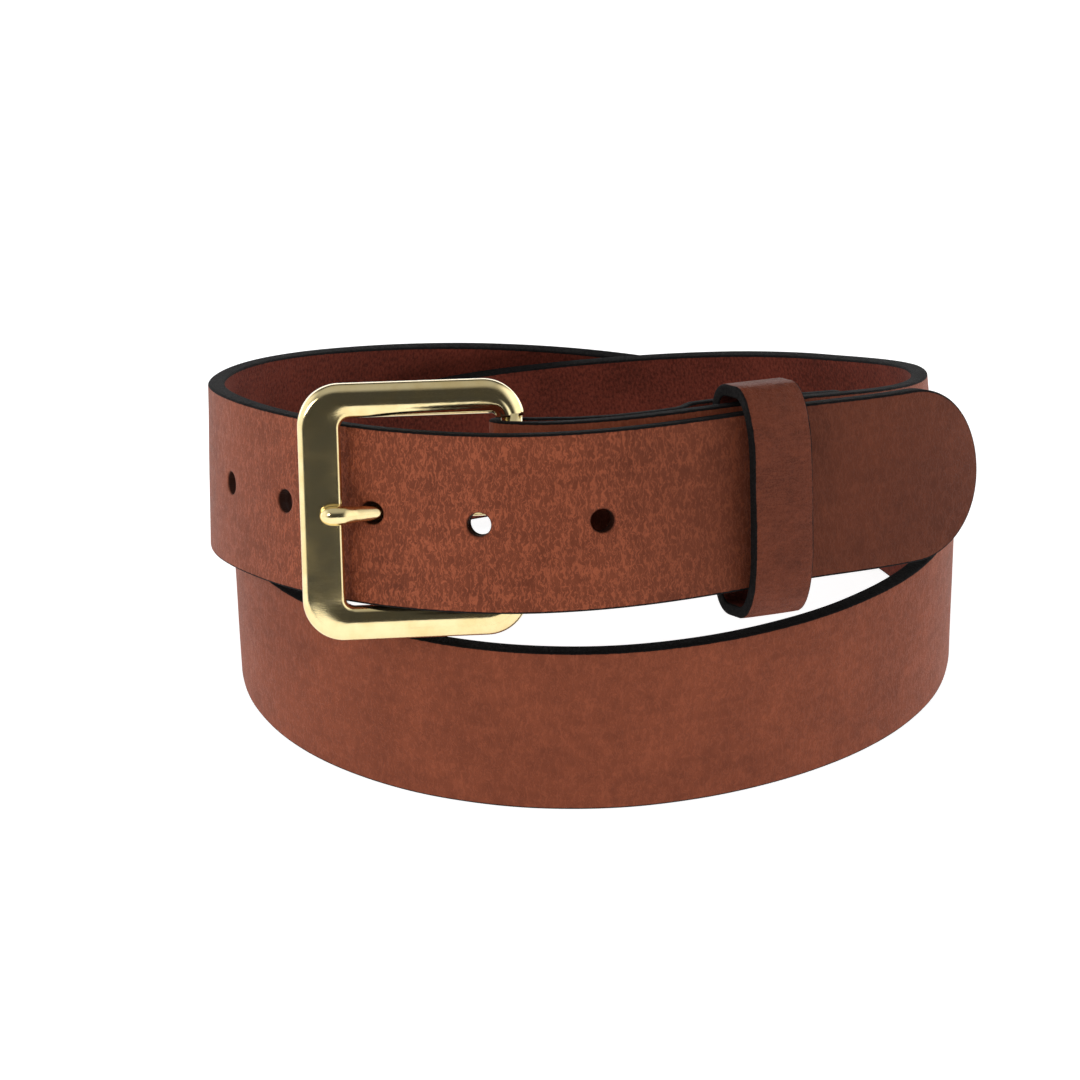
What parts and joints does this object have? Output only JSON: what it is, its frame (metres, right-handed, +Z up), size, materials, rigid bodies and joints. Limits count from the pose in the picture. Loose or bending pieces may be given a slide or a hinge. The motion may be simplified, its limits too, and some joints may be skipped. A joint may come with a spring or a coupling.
{
  "type": "leather belt",
  "caption": "Men's full-grain leather belt with a hinged brass frame buckle, prong and sliding keeper, buckled and coiled so that it stands on its edge.",
  "frame": {"origin": "on the floor under the middle of the coil's bounding box", "axes": "+Z up, out of the coil's open top; -Y the side the buckle faces; +X to the right of someone facing the buckle, the way the tip points"},
  "size_m": [0.1734, 0.1834, 0.0969],
  "materials": {
    "strap_leather": "satin full-grain leather, black painted edges, darker flesh side",
    "keeper_leather": "satin full-grain leather, black painted edges",
    "buckle_brass": "polished",
    "screw_brass": "polished",
    "staple_steel": "satin"
  },
  "bodies": {
    "belt": {"strap": "strap_leather", "screw_post_1": "screw_brass", "screw_post_2": "screw_brass", "screw_post_3": "screw_brass", "screw_post_4": "screw_brass", "screw_1": "screw_brass", "screw_2": "screw_brass", "screw_3": "screw_brass", "screw_4": "screw_brass"},
    "frame": {"buckle_frame": "buckle_brass"},
    "prong": {"buckle_prong": "buckle_brass"},
    "keeper": {"keeper_loop": "keeper_leather", "keeper_staple_1": "staple_steel", "keeper_staple_2": "staple_steel"}
  },
  "joints": [
    {"name": "frame_pivot", "type": "hinge", "parent": "belt", "child": "frame", "pos_m": [-0.01616, -0.07138, 0.06979], "axis": [-0.025, 0.2614, 0.9649], "range_deg": [0, 1]},
    {"name": "prong_pivot", "type": "hinge", "parent": "frame", "child": "prong", "pos_m": [-0.01616, -0.07138, 0.06979], "axis": [-0.025, 0.2614, 0.9649], "range_deg": [0, 1]},
    {"name": "keeper_slide", "type": "slide", "parent": "belt", "child": "keeper", "axis": [0.8825, 0.4633, -0.0814], "range_m": [-0.0025, 0.0015]}
  ]
}
